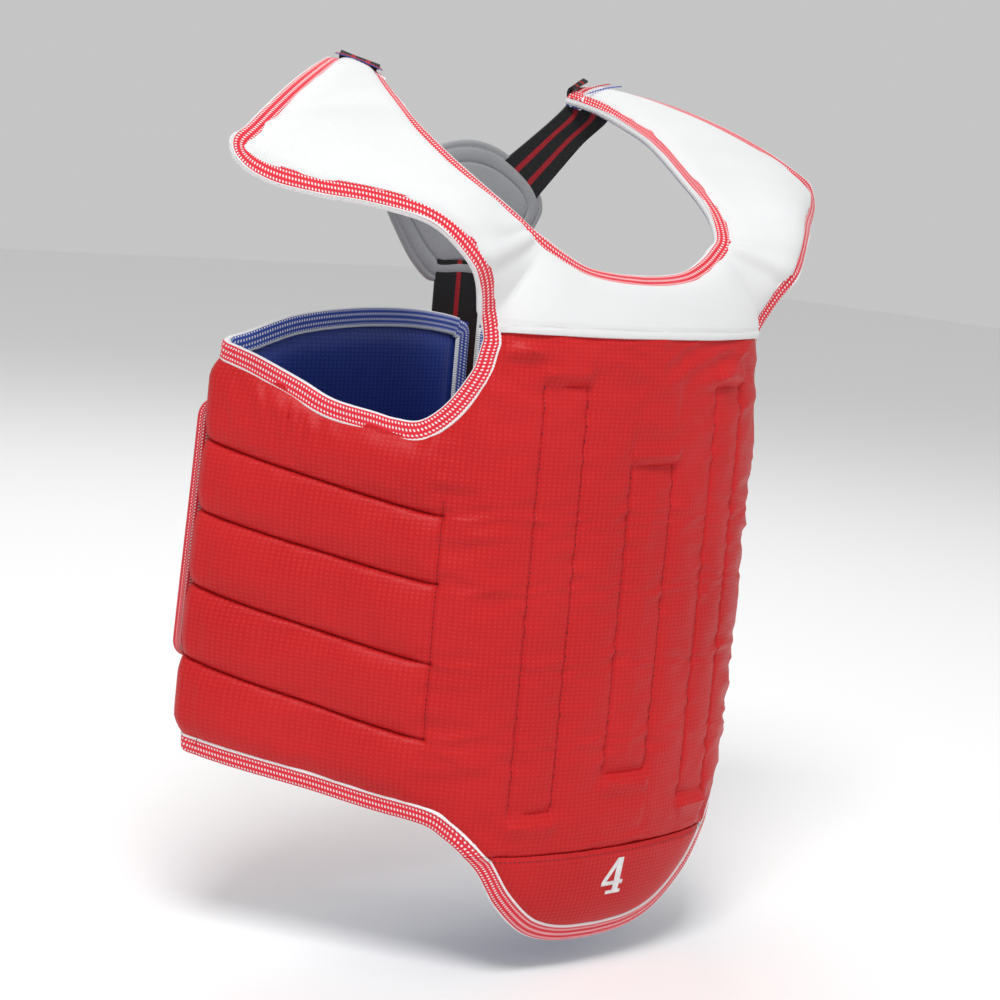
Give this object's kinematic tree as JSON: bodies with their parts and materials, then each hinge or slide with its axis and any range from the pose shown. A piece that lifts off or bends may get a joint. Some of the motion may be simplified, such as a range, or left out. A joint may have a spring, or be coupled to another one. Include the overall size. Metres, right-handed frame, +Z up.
{
  "type": "chest protector",
  "caption": "Reversible foam trunk guard for martial arts: padded chest and sides, flared shoulders, groin flap, folding back wings with a tab closure and an elastic strap harness.",
  "frame": {"origin": "middle of the chest space, on the plane of symmetry, half way up", "axes": "+Z up, the chest faces -Y, +X is the wearer's left"},
  "size_m": [0.5324, 0.2299, 0.58],
  "materials": {
    "foam": "closed-cell foam sheet",
    "red_vinyl": "embossed soft vinyl, satin",
    "blue_vinyl": "embossed soft vinyl, satin",
    "white_cloth": "fine woven synthetic cloth",
    "binding_tape": "knitted binding tape, red with white dots and a white edge",
    "grey_leather": "soft grained synthetic leather",
    "striped_elastic": "woven elastic, black with dark red stripes",
    "hook_and_loop": "black hook-and-loop tape"
  },
  "bodies": {
    "vest": {"front_foam": "foam", "outer_cover": "red_vinyl", "inner_cover": "blue_vinyl", "neck_binding": "binding_tape", "right_side_foam_1": "foam", "right_side_foam_2": "foam", "right_side_foam_3": "foam", "right_side_foam_4": "foam", "right_side_foam_5": "foam", "right_armhole_binding": "binding_tape", "right_hem_binding": "binding_tape", "right_shoulder_binding": "binding_tape", "right_yoke_cover": "white_cloth", "right_yoke_foam": "foam", "right_yoke_lining": "white_cloth", "left_side_foam_1": "foam", "left_side_foam_2": "foam", "left_side_foam_3": "foam", "left_side_foam_4": "foam", "left_side_foam_5": "foam", "left_armhole_binding": "binding_tape", "left_hem_binding": "binding_tape", "left_shoulder_binding": "binding_tape", "left_yoke_cover": "white_cloth", "left_yoke_foam": "foam", "left_yoke_lining": "white_cloth"},
    "groin_flap": {"flap_foam": "foam", "flap_outer_cover": "red_vinyl", "flap_inner_cover": "blue_vinyl", "flap_binding": "binding_tape"},
    "left_wing": {"left_wing_foam": "foam", "left_wing_outer_cover": "red_vinyl", "left_wing_inner_cover": "blue_vinyl", "left_wing_binding": "binding_tape", "closure_tab": "red_vinyl", "closure_tab_binding": "binding_tape", "closure_hook_patch": "hook_and_loop", "tail_loop_patch": "hook_and_loop"},
    "right_wing": {"right_wing_foam": "foam", "right_wing_outer_cover": "red_vinyl", "right_wing_inner_cover": "blue_vinyl", "right_wing_binding": "binding_tape", "wing_loop_patch": "hook_and_loop"},
    "back_harness": {"back_pad_inner": "grey_leather", "back_pad_core": "foam", "back_pad_outer": "grey_leather", "right_shoulder_strap": "striped_elastic", "left_shoulder_strap": "striped_elastic", "lower_strap": "striped_elastic", "tail_hook_patch": "hook_and_loop"}
  },
  "joints": [
    {"name": "groin_flap_fold", "type": "hinge", "parent": "vest", "child": "groin_flap", "pos_m": [0, -0.149, -0.2115], "axis": [-1, 0, 0], "range_deg": [-5, 40], "stiffness_Nm_per_rad": 0.8},
    {"name": "left_wing_open", "type": "hinge", "parent": "vest", "child": "left_wing", "pos_m": [0.21, 0.046, 0], "axis": [0, 0, -1], "range_deg": [0, 75]},
    {"name": "right_wing_open", "type": "hinge", "parent": "vest", "child": "right_wing", "pos_m": [-0.21, 0.046, 0], "axis": [0, 0, 1], "range_deg": [0, 75]},
    {"name": "harness_lift", "type": "hinge", "parent": "vest", "child": "back_harness", "pos_m": [0, 0.084, 0.281], "axis": [1, 0, 0], "range_deg": [0, 105]}
  ],
  "couplings": [
    {"joint": "right_wing_open", "follows": "left_wing_open", "ratio": 1},
    {"joint": "harness_lift", "follows": "left_wing_open", "ratio": 1.4}
  ]
}
